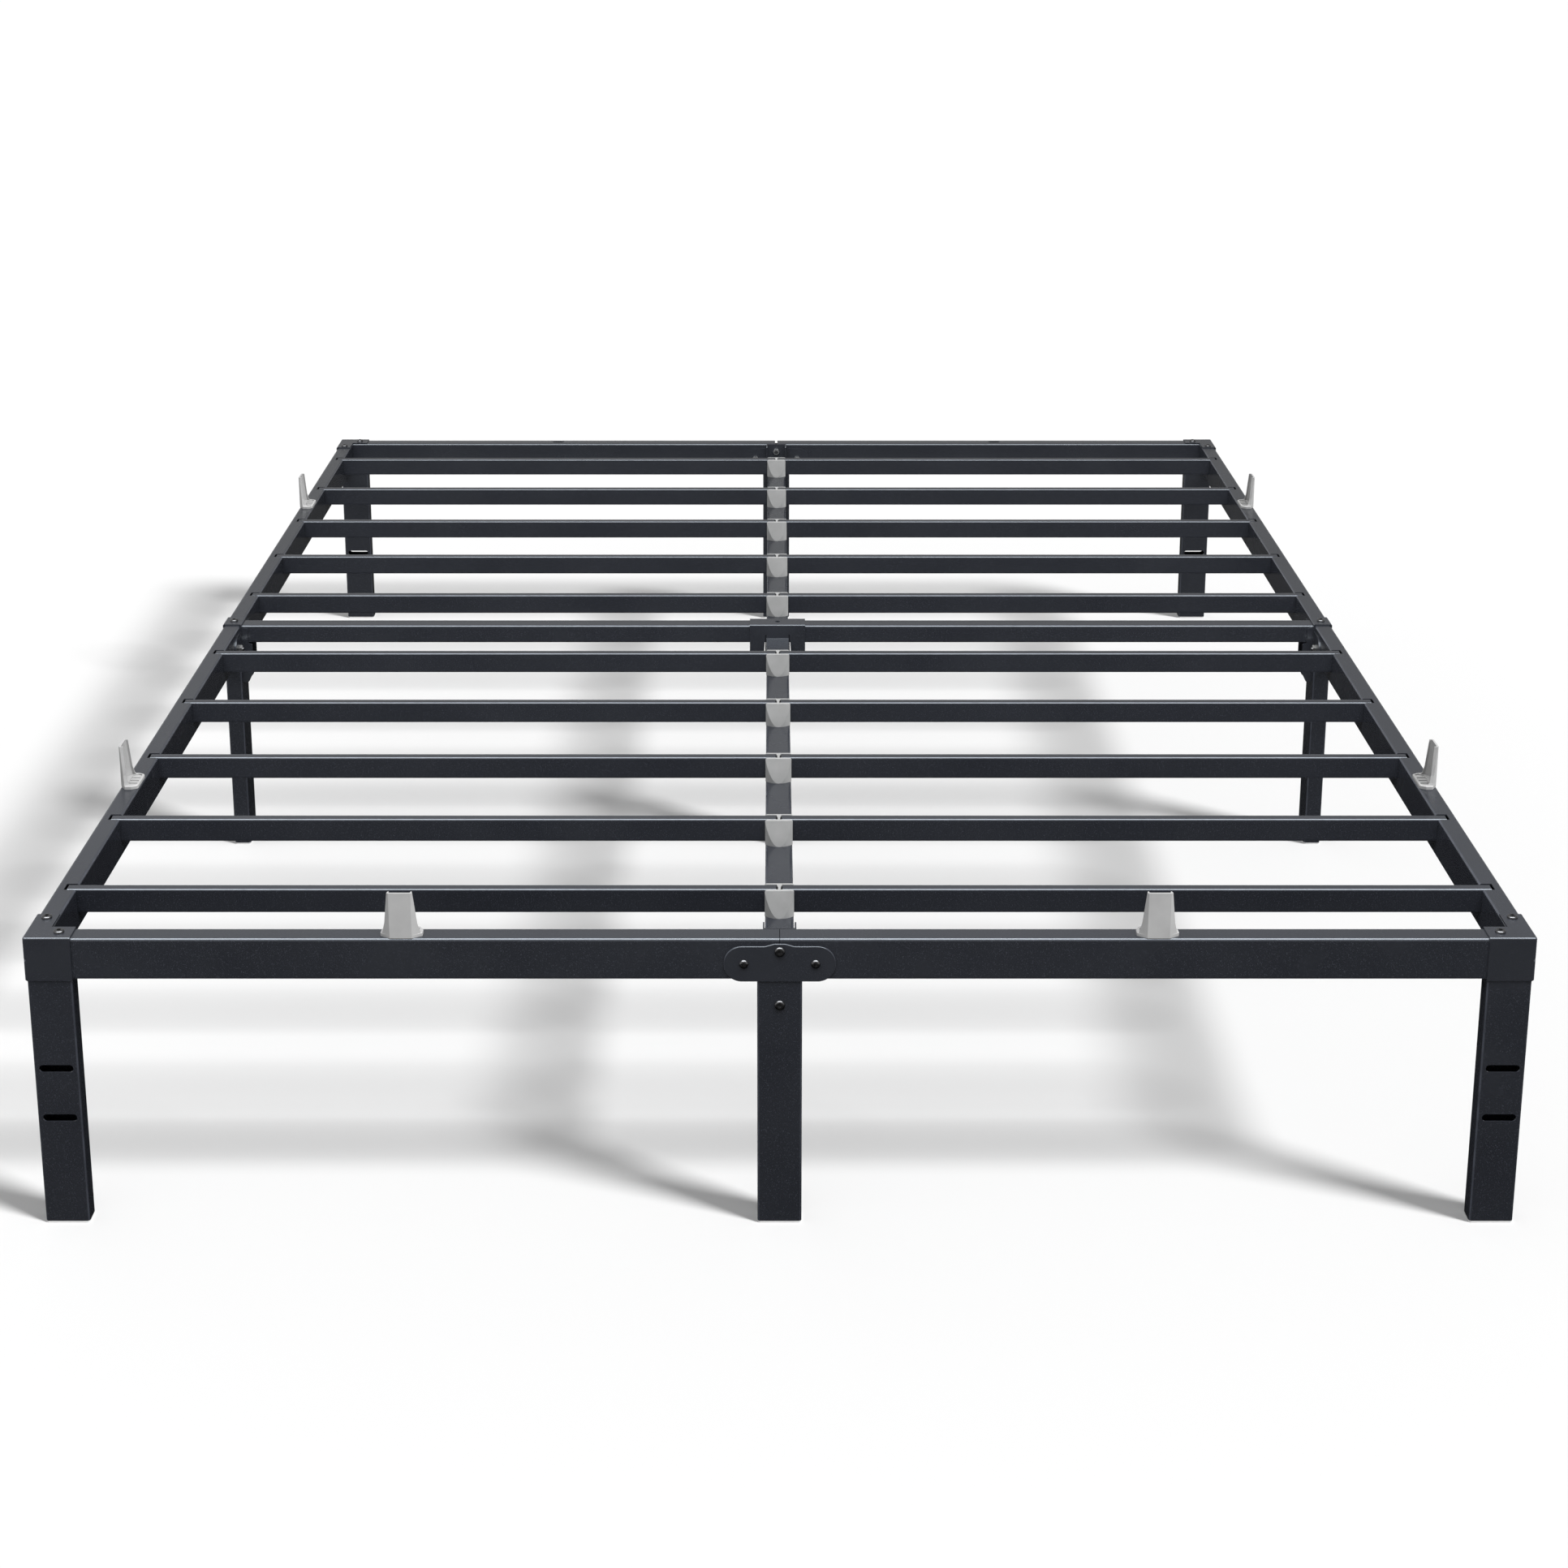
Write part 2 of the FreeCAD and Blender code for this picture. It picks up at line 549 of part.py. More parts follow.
def side_bracket_right():
    """Saddle over the side rail's joint, with a pocket inside for the end of the cross rail."""
    outline, radii = joint_plate_outline()
    half_cap = SIDE_CAP_LENGTH / 2
    outer = HALF_WIDTH + SHEET
    inner = SIDE_INNER - SHEET
    skin = prism([vec(HALF_WIDTH, u, z) for u, z in outline], radii, X_AXIS * SHEET)
    skin = skin.makeFillet(PLATE_EDGE_ROUND, flat_edges(skin, "x", outer))
    web = prism([vec(SIDE_INNER, u, z) for u, z in outline], radii, X_AXIS * (-SHEET))
    strap_points = rectangle("y", -half_cap, (inner, outer), (PLATE_TOP - STRAP_LAP, RAIL_TOP + SHEET))
    strap = prism(strap_points, [0, 0, FOLD_RADIUS, FOLD_RADIUS], Y_AXIS * SIDE_CAP_LENGTH)
    strap = strap.cut(box((SIDE_INNER, HALF_WIDTH), (-half_cap, half_cap), (RAIL_BOTTOM, RAIL_TOP)))
    tab_z = (BRACKET_FOOT_Z, RAIL_BOTTOM + TAB_LAP)
    tab = box((inner, SIDE_INNER), (-TAB_HALF_WIDTH, TAB_HALF_WIDTH), tab_z)
    bracket = skin.fuse([web, strap, tab])
    lean = inner - POCKET_REACH
    low = inner - POCKET_SHELF_REACH
    side = [
        (SIDE_INNER, POCKET_TOP), (lean, POCKET_TOP - POCKET_TOP_SLOPE), (lean, CROSS_RAIL_BOTTOM),
        (low, CROSS_RAIL_BOTTOM - SHEET), (low, BRACKET_FOOT_Z + POCKET_TOE_HEIGHT),
        (low + POCKET_TOE_DEPTH, BRACKET_FOOT_Z), (SIDE_INNER, BRACKET_FOOT_Z)]
    radii = [0, FOLD_RADIUS, 0, FOLD_RADIUS, FOLD_RADIUS, FOLD_RADIUS, 0]
    inner_half = CROSS_RAIL_SIZE / 2 + POCKET_PLAY
    for y in (-TAB_HALF_WIDTH, inner_half):
        wall = prism([vec(x, y, z) for x, z in side], radii, Y_AXIS * (TAB_HALF_WIDTH - inner_half))
        bracket = bracket.fuse(wall)
    shelf_z = (CROSS_RAIL_BOTTOM - SHEET, CROSS_RAIL_BOTTOM)
    bracket = bracket.fuse(box((lean, inner), (-inner_half, inner_half), shelf_z))
    through = X_AXIS * (SIDE_RAIL_WIDTH + 4 * CUT_MARGIN)
    for y, z in ((-BOLT_SPREAD, BOLT_Z), (BOLT_SPREAD, BOLT_Z), (0, LEG_SCREW_Z)):
        bracket = bracket.cut(cylinder(HOLE_RADIUS, vec(inner - CUT_MARGIN, y, z), through))
    return bracket.cut(top_hole(HALF_WIDTH - SIDE_RAIL_WIDTH / 2, 0)).removeSplitter()


def centre_saddle():
    """Inverted channel over the joint of the cross rail, with a folded flap on each skirt."""
    half_x = SADDLE_LENGTH / 2
    inner_y = CROSS_RAIL_SIZE / 2
    outer_y = inner_y + SHEET
    high = CROSS_RAIL_TOP + SHEET
    section = rectangle("x", -half_x, (-outer_y, outer_y), (SADDLE_SKIRT_Z, high))
    channel = prism(section, [0, 0, FOLD_RADIUS, FOLD_RADIUS], X_AXIS * SADDLE_LENGTH)
    channel = channel.cut(box((-half_x, half_x), (-inner_y, inner_y), (SADDLE_SKIRT_Z, CROSS_RAIL_TOP)))
    outside = -outer_y - CUT_MARGIN
    window = [
        vec(-SADDLE_WINDOW_LOW_HALF, outside, SADDLE_SKIRT_Z),
        vec(SADDLE_WINDOW_LOW_HALF, outside, SADDLE_SKIRT_Z),
        vec(SADDLE_WINDOW_TOP_HALF, outside, SADDLE_WINDOW_TOP),
        vec(-SADDLE_WINDOW_TOP_HALF, outside, SADDLE_WINDOW_TOP)]
    radii = [0, 0, SADDLE_WINDOW_ROUND, SADDLE_WINDOW_ROUND]
    channel = channel.cut(prism(window, radii, Y_AXIS * (-2 * outside)))
    root_z = SADDLE_WINDOW_TOP + SHEET
    flap_section = [
        (-inner_y, root_z), (-outer_y, root_z), (-outer_y, FLAP_FOLD_Z),
        (-FLAP_TIP_Y, SPINE_TOP + FIT + SHEET), (-FLAP_TIP_Y, SPINE_TOP + FIT),
        (-inner_y, FLAP_FOLD_Z - SHEET)]
    flap_points = [vec(-FLAP_HALF_WIDTH, y, z) for y, z in flap_section]
    flap = prism(flap_points, [0, 0, FLAP_FOLD_RADIUS, 0, 0, 0], X_AXIS * (2 * FLAP_HALF_WIDTH))
    channel = channel.fuse([flap, mirror_y(flap)])
    start = vec(0, 0, CROSS_RAIL_TOP - 1)
    return channel.cut(cylinder(SADDLE_HOLE_RADIUS, start, Z_AXIS * CUT_MARGIN)).removeSplitter()


def middle_leg_bracket():
    """Channel on top of the middle leg that carries both halves of the spine, with a stub in the leg."""
    half_x = CRADLE_WIDTH / 2
    half_y = CARRIER_HALF_LENGTH
    wall_top = SPINE_BOTTOM + CARRIER_WALL_HEIGHT
    channel = box((-half_x, half_x), (-half_y, half_y), (SPINE_BOTTOM - SHEET, wall_top))
    inner_x = half_x - SHEET
    channel = channel.cut(box((-inner_x, inner_x), (-half_y, half_y), (SPINE_BOTTOM, wall_top)))
    stub_x = LEG_DEPTH / 2 - RAIL_WALL - FIT
    stub_y = LEG_WIDTH / 2 - RAIL_WALL - FIT
    stub_z = (SPINE_BOTTOM - SHEET - CARRIER_STUB_DEPTH, SPINE_BOTTOM - SHEET)
    stub = tube("z", stub_z, (-stub_x, stub_x), (-stub_y, stub_y), RAIL_WALL, CARRIER_STUB_RADIUS)
    return channel.fuse(stub)


# ---- plastic parts ------------------------------------------------------------------------------
def slat_clip(y):
    """Clip on the spine that seats a left and a right slat end, with a bulged apron front and back."""
    half = CLIP_HALF_WIDTH
    front_left = vec(-half, -CLIP_SIDE_Y, SPINE_TOP)
    front_right = vec(half, -CLIP_SIDE_Y, SPINE_TOP)
    back_left = vec(-half, CLIP_SIDE_Y, SPINE_TOP)
    back_right = vec(half, CLIP_SIDE_Y, SPINE_TOP)
    edges = [
        Part.Arc(front_left, vec(0, -CLIP_BULGE_Y, SPINE_TOP), front_right).toShape(),
        Part.makeLine(front_right, back_right),
        Part.Arc(back_right, vec(0, CLIP_BULGE_Y, SPINE_TOP), back_left).toShape(),
        Part.makeLine(back_left, front_left)]
    clip = Part.Face(Part.Wire(edges)).extrude(Z_AXIS * (CLIP_TOP - SPINE_TOP))
    apron = [
        vec(-half, -CLIP_BULGE_Y, SPINE_TOP), vec(-half, CLIP_BULGE_Y, SPINE_TOP),
        vec(-half, CLIP_WALL_TOP_Y, CLIP_TOP), vec(-half, -CLIP_WALL_TOP_Y, CLIP_TOP)]
    clip = clip.common(prism(apron, [0, 0, CLIP_LIP_RADIUS, CLIP_LIP_RADIUS], X_AXIS * (2 * half)))
    face = rectangle("y", -CLIP_BULGE_Y, (-half, half), (SPINE_TOP, CLIP_TOP))
    radii = [CLIP_FOOT_RADIUS, CLIP_FOOT_RADIUS, CLIP_CORNER_RADIUS, CLIP_CORNER_RADIUS]
    clip = clip.common(prism(face, radii, Y_AXIS * (2 * CLIP_BULGE_Y)))
    level = SPINE_TOP + CLIP_FLOOR
    channel_y = (-CLIP_CHANNEL_HALF, CLIP_CHANNEL_HALF)
    clip = clip.cut(box((-half, half), channel_y, (level, CLIP_TOP)))
    divider = [
        (-CLIP_DIVIDER_HALF, -CLIP_CHANNEL_HALF), (CLIP_DIVIDER_HALF, -CLIP_CHANNEL_HALF),
        (CLIP_DIVIDER_HALF, CLIP_WEDGE_START), (CLIP_WEDGE_HALF, CLIP_CHANNEL_HALF),
        (-CLIP_WEDGE_HALF, CLIP_CHANNEL_HALF), (-CLIP_DIVIDER_HALF, CLIP_WEDGE_START)]
    web = prism([vec(u, v, level) for u, v in divider], 0, Z_AXIS * (CLIP_TOP - level))
    clip = clip.fuse(web).removeSplitter()
    clip.translate(vec(0, y, 0))
    return clip


def symmetric_section(right_half, level):
    """Closed polygon at a level, from (half width, depth) points on its right half."""
    right = [vec(u, v, level) for u, v in right_half]
    left = [vec(-u, v, level) for u, v in reversed(right_half)]
    return Part.makePolygon(right + left + right[:1])


def symmetric_prism(outline, low, high):
    """Prism from the right half of an outline, given as (half width, depth, corner radius) rows."""
    right = [vec(u, v, low) for u, v, radius in outline]
    left = [vec(-u, v, low) for u, v, radius in reversed(outline)]
    radii = [radius for u, v, radius in outline]
    return prism(right + left, radii + radii[::-1], Z_AXIS * (high - low))


def stop_base():
    """Fan-shaped foot of a mattress stop, with a ribbed recess inside a raised rim."""
    top = STOP_BASE_HEIGHT
    base = symmetric_prism(STOP_BASE_OUTLINE, 0, top)
    base = base.makeChamfer(STOP_BASE_CHAMFER, flat_edges(base, "z", top))
    floor = top - STOP_RECESS_DEPTH
    recess = symmetric_prism(STOP_RECESS_OUTLINE, floor, top)
    for x in (-STOP_RIB_SPACING, 0, STOP_RIB_SPACING):
        half = STOP_RIB_WIDTH / 2
        rib_y = (STOP_FACE_INSET, STOP_SLOT_INSET + STOP_SLOT_LENGTH / 2)
        recess = recess.cut(box((x - half, x + half), rib_y, (floor, top - STOP_RIB_DROP)))
    return base.cut(recess)


def stop_tongue():
    """Tapering upright of a mattress stop: a flat outer face with a flange bent inwards on each side."""
    outer = []
    inner = []
    top = STOP_SECTIONS[-1][0]
    for level, half, shoulder, depth in STOP_SECTIONS:
        profile = [(STOP_FACE_HALF, STOP_FACE_INSET), (half, shoulder), (half - STOP_FLANGE_LEAN, depth)]
        outer.append(symmetric_section(profile, level))
        inset = STOP_WALL + STOP_FLANGE_LEAN / 2
        hollow = [
            (STOP_FACE_HALF - STOP_WALL / 2, STOP_FACE_INSET + STOP_WALL),
            (half - inset, shoulder + STOP_WALL_SKEW), (half - inset, depth + CUT_MARGIN)]
        hollow_level = level + CUT_MARGIN if level == top else level
        inner.append(symmetric_section(hollow, hollow_level))
    return Part.makeLoft(outer, True, True).cut(Part.makeLoft(inner, True, True))


def mattress_stop():
    """Stop at the origin: x along the rail, y inward from the rail's outer face, z up from its top."""
    length = STOP_SLOT_LENGTH / 2 - FIT
    width = STOP_SLOT_WIDTH / 2 - FIT
    peg_y = (STOP_SLOT_INSET - width, STOP_SLOT_INSET + width)
    corners = rectangle("z", -STOP_PEG_DEPTH, (-length, length), peg_y)
    peg = prism(corners, width - SLOT_END_TRIM, Z_AXIS * (STOP_PEG_DEPTH + STOP_BASE_HEIGHT / 2))
    return stop_base().fuse([stop_tongue(), peg]).removeSplitter()


def mattress_stops():
    """Two stops on the foot-end rail and two on each side rail."""
    stops = []
    for x in (-STOP_END_X, STOP_END_X):
        stop = mattress_stop()
        stop.translate(vec(x, -HALF_LENGTH, RAIL_TOP))
        stops.append(stop)
    for side, angle in ((1, 90), (-1, -90)):
        for y in (-STOP_SIDE_Y, STOP_SIDE_Y):
            stop = mattress_stop()
            stop.rotate(ORIGIN, Z_AXIS, angle)
            stop.translate(vec(side * HALF_WIDTH, y, RAIL_TOP))
            stops.append(stop)
    return Part.makeCompound(stops)


# ---- fasteners ----------------------------------------------------------------------------------
def hexagon_prism(across_flats, height, level):
    radius = across_flats / math.sqrt(3)
    corners = []
    for index in range(6):
        angle = math.radians(60 * index)
        corners.append(vec(radius * math.cos(angle), radius * math.sin(angle), level))
    return prism(corners, 0, Z_AXIS * height)


def placed(shape, point, direction):
    """Copy of a shape built along +Z, turned to a direction and moved to a point."""
    copy = shape.copy()
    copy.Placement = FreeCAD.Placement(point, FreeCAD.Rotation(Z_AXIS, direction))
    return copy


def socket_screw(length):
    """Button-head hex-socket screw: underside of the head at the origin, head towards +Z."""
    head = Part.makeCylinder(SCREW_HEAD_RADIUS, SCREW_HEAD_HEIGHT)
    head = head.makeFillet(SCREW_HEAD_ROUND, flat_edges(head, "z", SCREW_HEAD_HEIGHT))
    head = head.cut(hexagon_prism(SCREW_SOCKET, SCREW_HEAD_HEIGHT, SCREW_HEAD_HEIGHT - SCREW_SOCKET_DEPTH))
    return head.fuse(cylinder(SHANK_RADIUS, ORIGIN, Z_AXIS * (-length)))


def dome_bolt(length):
    """Carriage bolt: underside of the smooth dome at the origin, head towards +Z."""
    head = Part.makeCylinder(DOME_RADIUS, DOME_HEIGHT)
    head = head.makeFillet(DOME_ROUND, flat_edges(head, "z", DOME_HEIGHT))
    return head.fuse(cylinder(SHANK_RADIUS, ORIGIN, Z_AXIS * (-length)))


def hex_nut():
    nut = hexagon_prism(NUT_ACROSS_FLATS, NUT_HEIGHT, 0)
    rim = Part.makeCone(NUT_ACROSS_FLATS / 2 + NUT_HEIGHT, NUT_ACROSS_FLATS / 2, NUT_HEIGHT)
    nut = nut.common(rim)
    return nut.cut(cylinder(SHANK_RADIUS, ORIGIN, Z_AXIS * NUT_HEIGHT))


def all_corners(places):
    """Front right places repeated at the other three corners."""
    return [(sx * x, sy * y) for x, y in places for sx in (-1, 1) for sy in (-1, 1)]


def through_fasteners(make, sites, grip):
    """A headed fastener and its nut at each (point, outward) site, over the grip length."""
    length = grip + NUT_HEIGHT + SHANK_PAST_NUT
    bolts = [placed(make(length), point, outward) for point, outward in sites]
    nuts = [placed(hex_nut(), point - outward * grip, outward * -1) for point, outward in sites]
    return bolts, nuts


def fasteners():
    """Socket screws, carriage bolts and nuts, each as one group."""
    screws = []
    for x, y in all_corners(corner_screw_places()):
        screws.append(placed(socket_screw(CORNER_SCREW_LENGTH), vec(x, y, RAIL_TOP + SHEET), Z_AXIS))
    middle_x = HALF_WIDTH - SIDE_RAIL_WIDTH / 2
    for x in (-middle_x, middle_x):
        screws.append(placed(socket_screw(CORNER_SCREW_LENGTH), vec(x, 0, RAIL_TOP + SHEET), Z_AXIS))
    joint_sites = []
    end_leg_sites = []
    side_leg_sites = []
    end_bolt_sites = []
    side_bolt_sites = []
    for sign in (-1, 1):
        outward = Y_AXIS * sign
        joint_sites.append((vec(0, sign * (HALF_LENGTH + SHEET), JOINT_SCREW_Z), outward))
        end_leg_sites.append((vec(0, sign * HALF_LENGTH, LEG_SCREW_Z), outward))
        side_leg_sites.append((vec(sign * HALF_WIDTH, 0, LEG_SCREW_Z), X_AXIS * sign))
        for spread in (-BOLT_SPREAD, BOLT_SPREAD):
            end_bolt_sites.append((vec(spread, sign * (HALF_LENGTH + SHEET), BOLT_Z), outward))
            side_bolt_sites.append((vec(sign * (HALF_WIDTH + SHEET), spread, BOLT_Z), X_AXIS * sign))
    nuts = []
    for sites, grip in (
            (joint_sites, END_RAIL_DEPTH + 2 * SHEET),
            (end_leg_sites, LEG_DEPTH + SHEET),
            (side_leg_sites, LEG_DEPTH + SHEET)):
        more_screws, more_nuts = through_fasteners(socket_screw, sites, grip)
        screws += more_screws
        nuts += more_nuts
    bolts = []
    for sites, grip in (
            (end_bolt_sites, END_RAIL_DEPTH + 2 * SHEET),
            (side_bolt_sites, SIDE_RAIL_WIDTH + 2 * SHEET)):
        more_bolts, more_nuts = through_fasteners(dome_bolt, sites, grip)
        bolts += more_bolts
        nuts += more_nuts
    return {
        "socket_screws": Part.makeCompound(screws),
        "dome_bolts": Part.makeCompound(bolts),
        "hex_nuts": Part.makeCompound(nuts)}


# ---- assembly -----------------------------------------------------------------------------------
def turned(shape, end, side):
    """Copy of a front right shape for the given end and side of the bed."""
    if end == "back":
        shape = mirror_y(shape)
    if side == "left":
        shape = mirror_x(shape)
    return shape


def build_nodes():
    nodes = {}
    corner_shapes = {
        "corner_leg": corner_leg(),
        "corner_bracket": corner_bracket()}
    end_shapes = {
        "centre_leg": end_centre_leg(),
        "joint_plate": joint_plate_front(),
        "spine_bracket": spine_bracket_front(),
        "spine": spine_front()}
    side_shapes = {
        "cross_rail": cross_rail_right(),
        "side_leg": side_centre_leg(),
        "side_bracket": side_bracket_right()}
    end_rails = {"front": end_rail_right(HALF_GAP), "back": end_rail_right(BACK_HALF_GAP)}
    side_rail = side_rail_front()
    for end in ("front", "back"):
        for side in ("left", "right"):
            nodes[f"{end}_rail_{side}"] = turned(end_rails[end], end, side)
            nodes[f"{side}_rail_{end}"] = turned(side_rail, end, side)
            for name, shape in corner_shapes.items():
                nodes[f"{name}_{end}_{side}"] = turned(shape, end, side)
        for name, shape in end_shapes.items():
            nodes[f"{name}_{end}"] = turned(shape, end, "right")
    for side in ("left", "right"):
        for name, shape in side_shapes.items():
            nodes[f"{name}_{side}"] = turned(shape, "front", side)
    rows = sorted([-y for y in slat_levels()] + slat_levels())
    for number, y in enumerate(rows, start=1):
        slat = slat_right(y)
        nodes[f"slat_right_{number}"] = slat
        nodes[f"slat_left_{number}"] = mirror_x(slat)
    nodes["slat_clips_front"] = Part.makeCompound([slat_clip(-y) for y in slat_levels()])
    nodes["slat_clips_back"] = Part.makeCompound([slat_clip(y) for y in slat_levels()])
    nodes["centre_saddle"] = centre_saddle()
    nodes["middle_leg"] = middle_leg()
    nodes["middle_leg_bracket"] = middle_leg_bracket()
    nodes["foot_caps"] = foot_caps()
    nodes["mattress_stops"] = mattress_stops()
    nodes.update(fasteners())
    return nodes


os.makedirs("parts", exist_ok=True)
for name, shape in build_nodes().items():
    shape.exportStep(f"parts/{name}.step")
    print(name, len(shape.Solids), round(shape.Volume), shape.isValid())
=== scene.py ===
import bpy
import math
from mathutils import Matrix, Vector


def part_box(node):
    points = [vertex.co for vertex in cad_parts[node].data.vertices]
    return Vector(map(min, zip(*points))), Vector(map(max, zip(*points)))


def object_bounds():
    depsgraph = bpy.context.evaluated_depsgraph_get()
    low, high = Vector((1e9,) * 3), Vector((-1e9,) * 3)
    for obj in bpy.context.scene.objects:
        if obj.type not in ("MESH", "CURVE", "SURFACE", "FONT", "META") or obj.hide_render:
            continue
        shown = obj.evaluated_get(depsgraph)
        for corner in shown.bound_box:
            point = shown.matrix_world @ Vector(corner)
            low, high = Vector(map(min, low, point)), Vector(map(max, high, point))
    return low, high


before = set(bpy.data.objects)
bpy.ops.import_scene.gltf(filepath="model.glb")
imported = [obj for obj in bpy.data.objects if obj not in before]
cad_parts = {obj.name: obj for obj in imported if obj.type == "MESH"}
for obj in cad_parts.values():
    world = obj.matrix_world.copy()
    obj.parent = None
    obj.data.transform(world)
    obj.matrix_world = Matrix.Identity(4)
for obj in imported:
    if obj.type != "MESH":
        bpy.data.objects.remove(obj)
cad_low, cad_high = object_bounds()
centre = (cad_low + cad_high) / 2
FOOT_END_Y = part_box("front_rail_left")[0].y
MATTRESS_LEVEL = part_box("slat_left_1")[1].z

# ---- camera: metres from the middle of the foot end and up from the floor, lens in millimetres -----
CAMERA_SIDE = -0.0083
CAMERA_BACK = 2.4232
CAMERA_HEIGHT = 1.4547
CAMERA_PITCH = math.radians(14.96)
CAMERA_LENS = 60.17
CAMERA_SHIFT_X = 0.008
CAMERA_SHIFT_Y = -0.2
CAMERA_SENSOR = 36.0
CAMERA_NEAREST = 0.05
CAMERA_FARTHEST = 200.0

# ---- light ---------------------------------------------------------------------------------------
KEY_FROM = Vector((0.97, -0.53, 1.0))
KEY_DISTANCE = 4
KEY_STRENGTH = 3.9
KEY_SOFTNESS = math.radians(14)
SOFTBOX_WIDTH = 5.0
SOFTBOX_DEPTH = 2.4
SOFTBOX_AHEAD = 0.9
SOFTBOX_HEIGHT = 3.3
SOFTBOX_RADIANCE = 10.5
SOFTBOX_COLOUR = (0.95, 0.98, 1.0)
OVERHEAD_STRENGTH = 4.5
OVERHEAD_SOFTNESS = math.radians(80)
FLOOR_SIZE = 60.0
FLOOR_COLOUR = (0.8, 0.8, 0.8, 1)
BACKDROP_COLOUR = (1, 1, 1, 1)
# Brightness of the room by the height of the direction, from straight down (-1) to straight up (1),
# as seen towards the foot end and towards the head end.
ROOM_AT_FOOT = (
    (-0.38, 0.004), (-0.27, 0.06), (-0.10, 0.35), (-0.06, 1.0),
    (0.14, 1.0), (0.30, 0.45), (1.0, 0.42))
ROOM_AT_HEAD = (
    (-0.36, 0.004), (-0.27, 0.07), (-0.10, 0.15), (-0.06, 1.0),
    (0.06, 1.0), (0.14, 0.30), (0.28, 0.30), (0.38, 0.47), (1.0, 0.42))
ROOM_AT_LEFT = 1.14
ROOM_AT_RIGHT = 0.82
# How far a direction leans to either side of the middle before the room reaches its end value.
ROOM_LEAN = 0.3

# ---- materials: noise scales are per metre, bump distances in metres -------------------------------
COAT_DARK = (0.0112, 0.0121, 0.0155)
COAT_LIGHT = (0.0146, 0.0156, 0.0195)
COAT_SPECULAR = 0.8
COAT_TINT = (0.90, 0.95, 1.0, 1)
COAT_GLOSS_SPREAD = 0.04
DRIFT_SCALE = 6.0
GLOSS_DRIFT_SCALE = 14.0
SPECK_SCALE = 900.0
SPECK_FROM = 0.62
SPECK_TO = 0.72
SPECK_PALER = 1.9
# Largest axis component of the normal: the paler edge, partly wear and partly a painted highlight, is
# full up to the first value and gone from the second.
EDGE_FULL = 0.84
EDGE_NONE = 0.97
# Patches and paleness of the pale rounded edges: partly edge wear, partly a painted highlight.
WEAR_AND_SHEEN_SCALE = 55.0
WEAR_AND_SHEEN_LEAST = 0.55
WEAR_AND_SHEEN_FROM = 0.42
WEAR_AND_SHEEN_TO = 0.62
WEAR_AND_SHEEN_PALER = 2.4
PEEL_SCALE = 320.0
PEEL_DEPTH = 0.0002
PEEL_STRENGTH = 0.12
GRAIN_SCALE = 1500.0
GRAIN_DEPTH = 0.00008
PLASTIC_MOTTLE_SCALE = 40.0
PLASTIC_GLOSS_SCALE = 90.0
PLASTIC_GLOSS_SPREAD = 0.05
PLASTIC_SKIN_SCALE = 1100.0
PLASTIC_SKIN_DEPTH = 0.0001
PLASTIC_SKIN_STRENGTH = 0.2
STEEL_MOTTLE_SCALE = 300.0
STEEL_GLOSS_SCALE = 500.0
STEEL_ROUGH_FROM = 0.24
STEEL_ROUGH_TO = 0.36
STEEL_MARK_SCALE = 2500.0
STEEL_MARK_DEPTH = 0.00004
STEEL_MARK_STRENGTH = 0.4
USUAL_DETAIL = 3.0
FINE_DETAIL = 2.0
SPECK_DETAIL = 1.0
# The ends of the range in which most of a noise's values lie.
NOISE_LOW = 0.3
NOISE_HIGH = 0.7


def look_along(direction):
    return direction.to_track_quat("-Z", "Y").to_euler()


def add_camera():
    data = bpy.data.cameras.new("camera")
    data.sensor_width = CAMERA_SENSOR
    data.lens = CAMERA_LENS
    data.shift_x = CAMERA_SHIFT_X
    data.shift_y = CAMERA_SHIFT_Y
    data.clip_start = CAMERA_NEAREST
    data.clip_end = CAMERA_FARTHEST
    camera = bpy.data.objects.new("camera", data)
    camera.location = (centre.x + CAMERA_SIDE, FOOT_END_Y - CAMERA_BACK, CAMERA_HEIGHT)
    camera.rotation_euler = (math.pi / 2 - CAMERA_PITCH, 0, 0)
    bpy.context.scene.collection.objects.link(camera)
    bpy.context.scene.camera = camera


def light_only(light, objects):
    """Let a light reach only the given objects; everything still casts its shadow."""
    receivers = bpy.data.collections.new(light.name + "_receivers")
    for item in objects:
        receivers.objects.link(item)
    light.light_linking.receiver_collection = receivers


def add_key_light(objects):
    """Sun from the front right that draws the frame's soft shadow on the floor."""
    data = bpy.data.lights.new("key_light", "SUN")
    data.energy = KEY_STRENGTH
    data.angle = KEY_SOFTNESS
    light = bpy.data.objects.new("key_light", data)
    light.rotation_euler = look_along(-KEY_FROM)
    light.location = centre + KEY_FROM * KEY_DISTANCE
    bpy.context.scene.collection.objects.link(light)
    light_only(light, objects)


def add_softbox(objects):
    """Wide softbox above the foot end, for the sheen along the coated edges."""
    data = bpy.data.lights.new("softbox", "AREA")
    data.shape = "RECTANGLE"
    data.size = SOFTBOX_WIDTH
    data.size_y = SOFTBOX_DEPTH
    data.energy = SOFTBOX_RADIANCE * math.pi * SOFTBOX_WIDTH * SOFTBOX_DEPTH
    data.color = SOFTBOX_COLOUR
    light = bpy.data.objects.new("softbox", data)
    place = Vector((centre.x, FOOT_END_Y - SOFTBOX_AHEAD, SOFTBOX_HEIGHT))
    light.location = place
    light.rotation_euler = look_along(Vector((centre.x, FOOT_END_Y, MATTRESS_LEVEL)) - place)
    bpy.context.scene.collection.objects.link(light)
    light_only(light, objects)


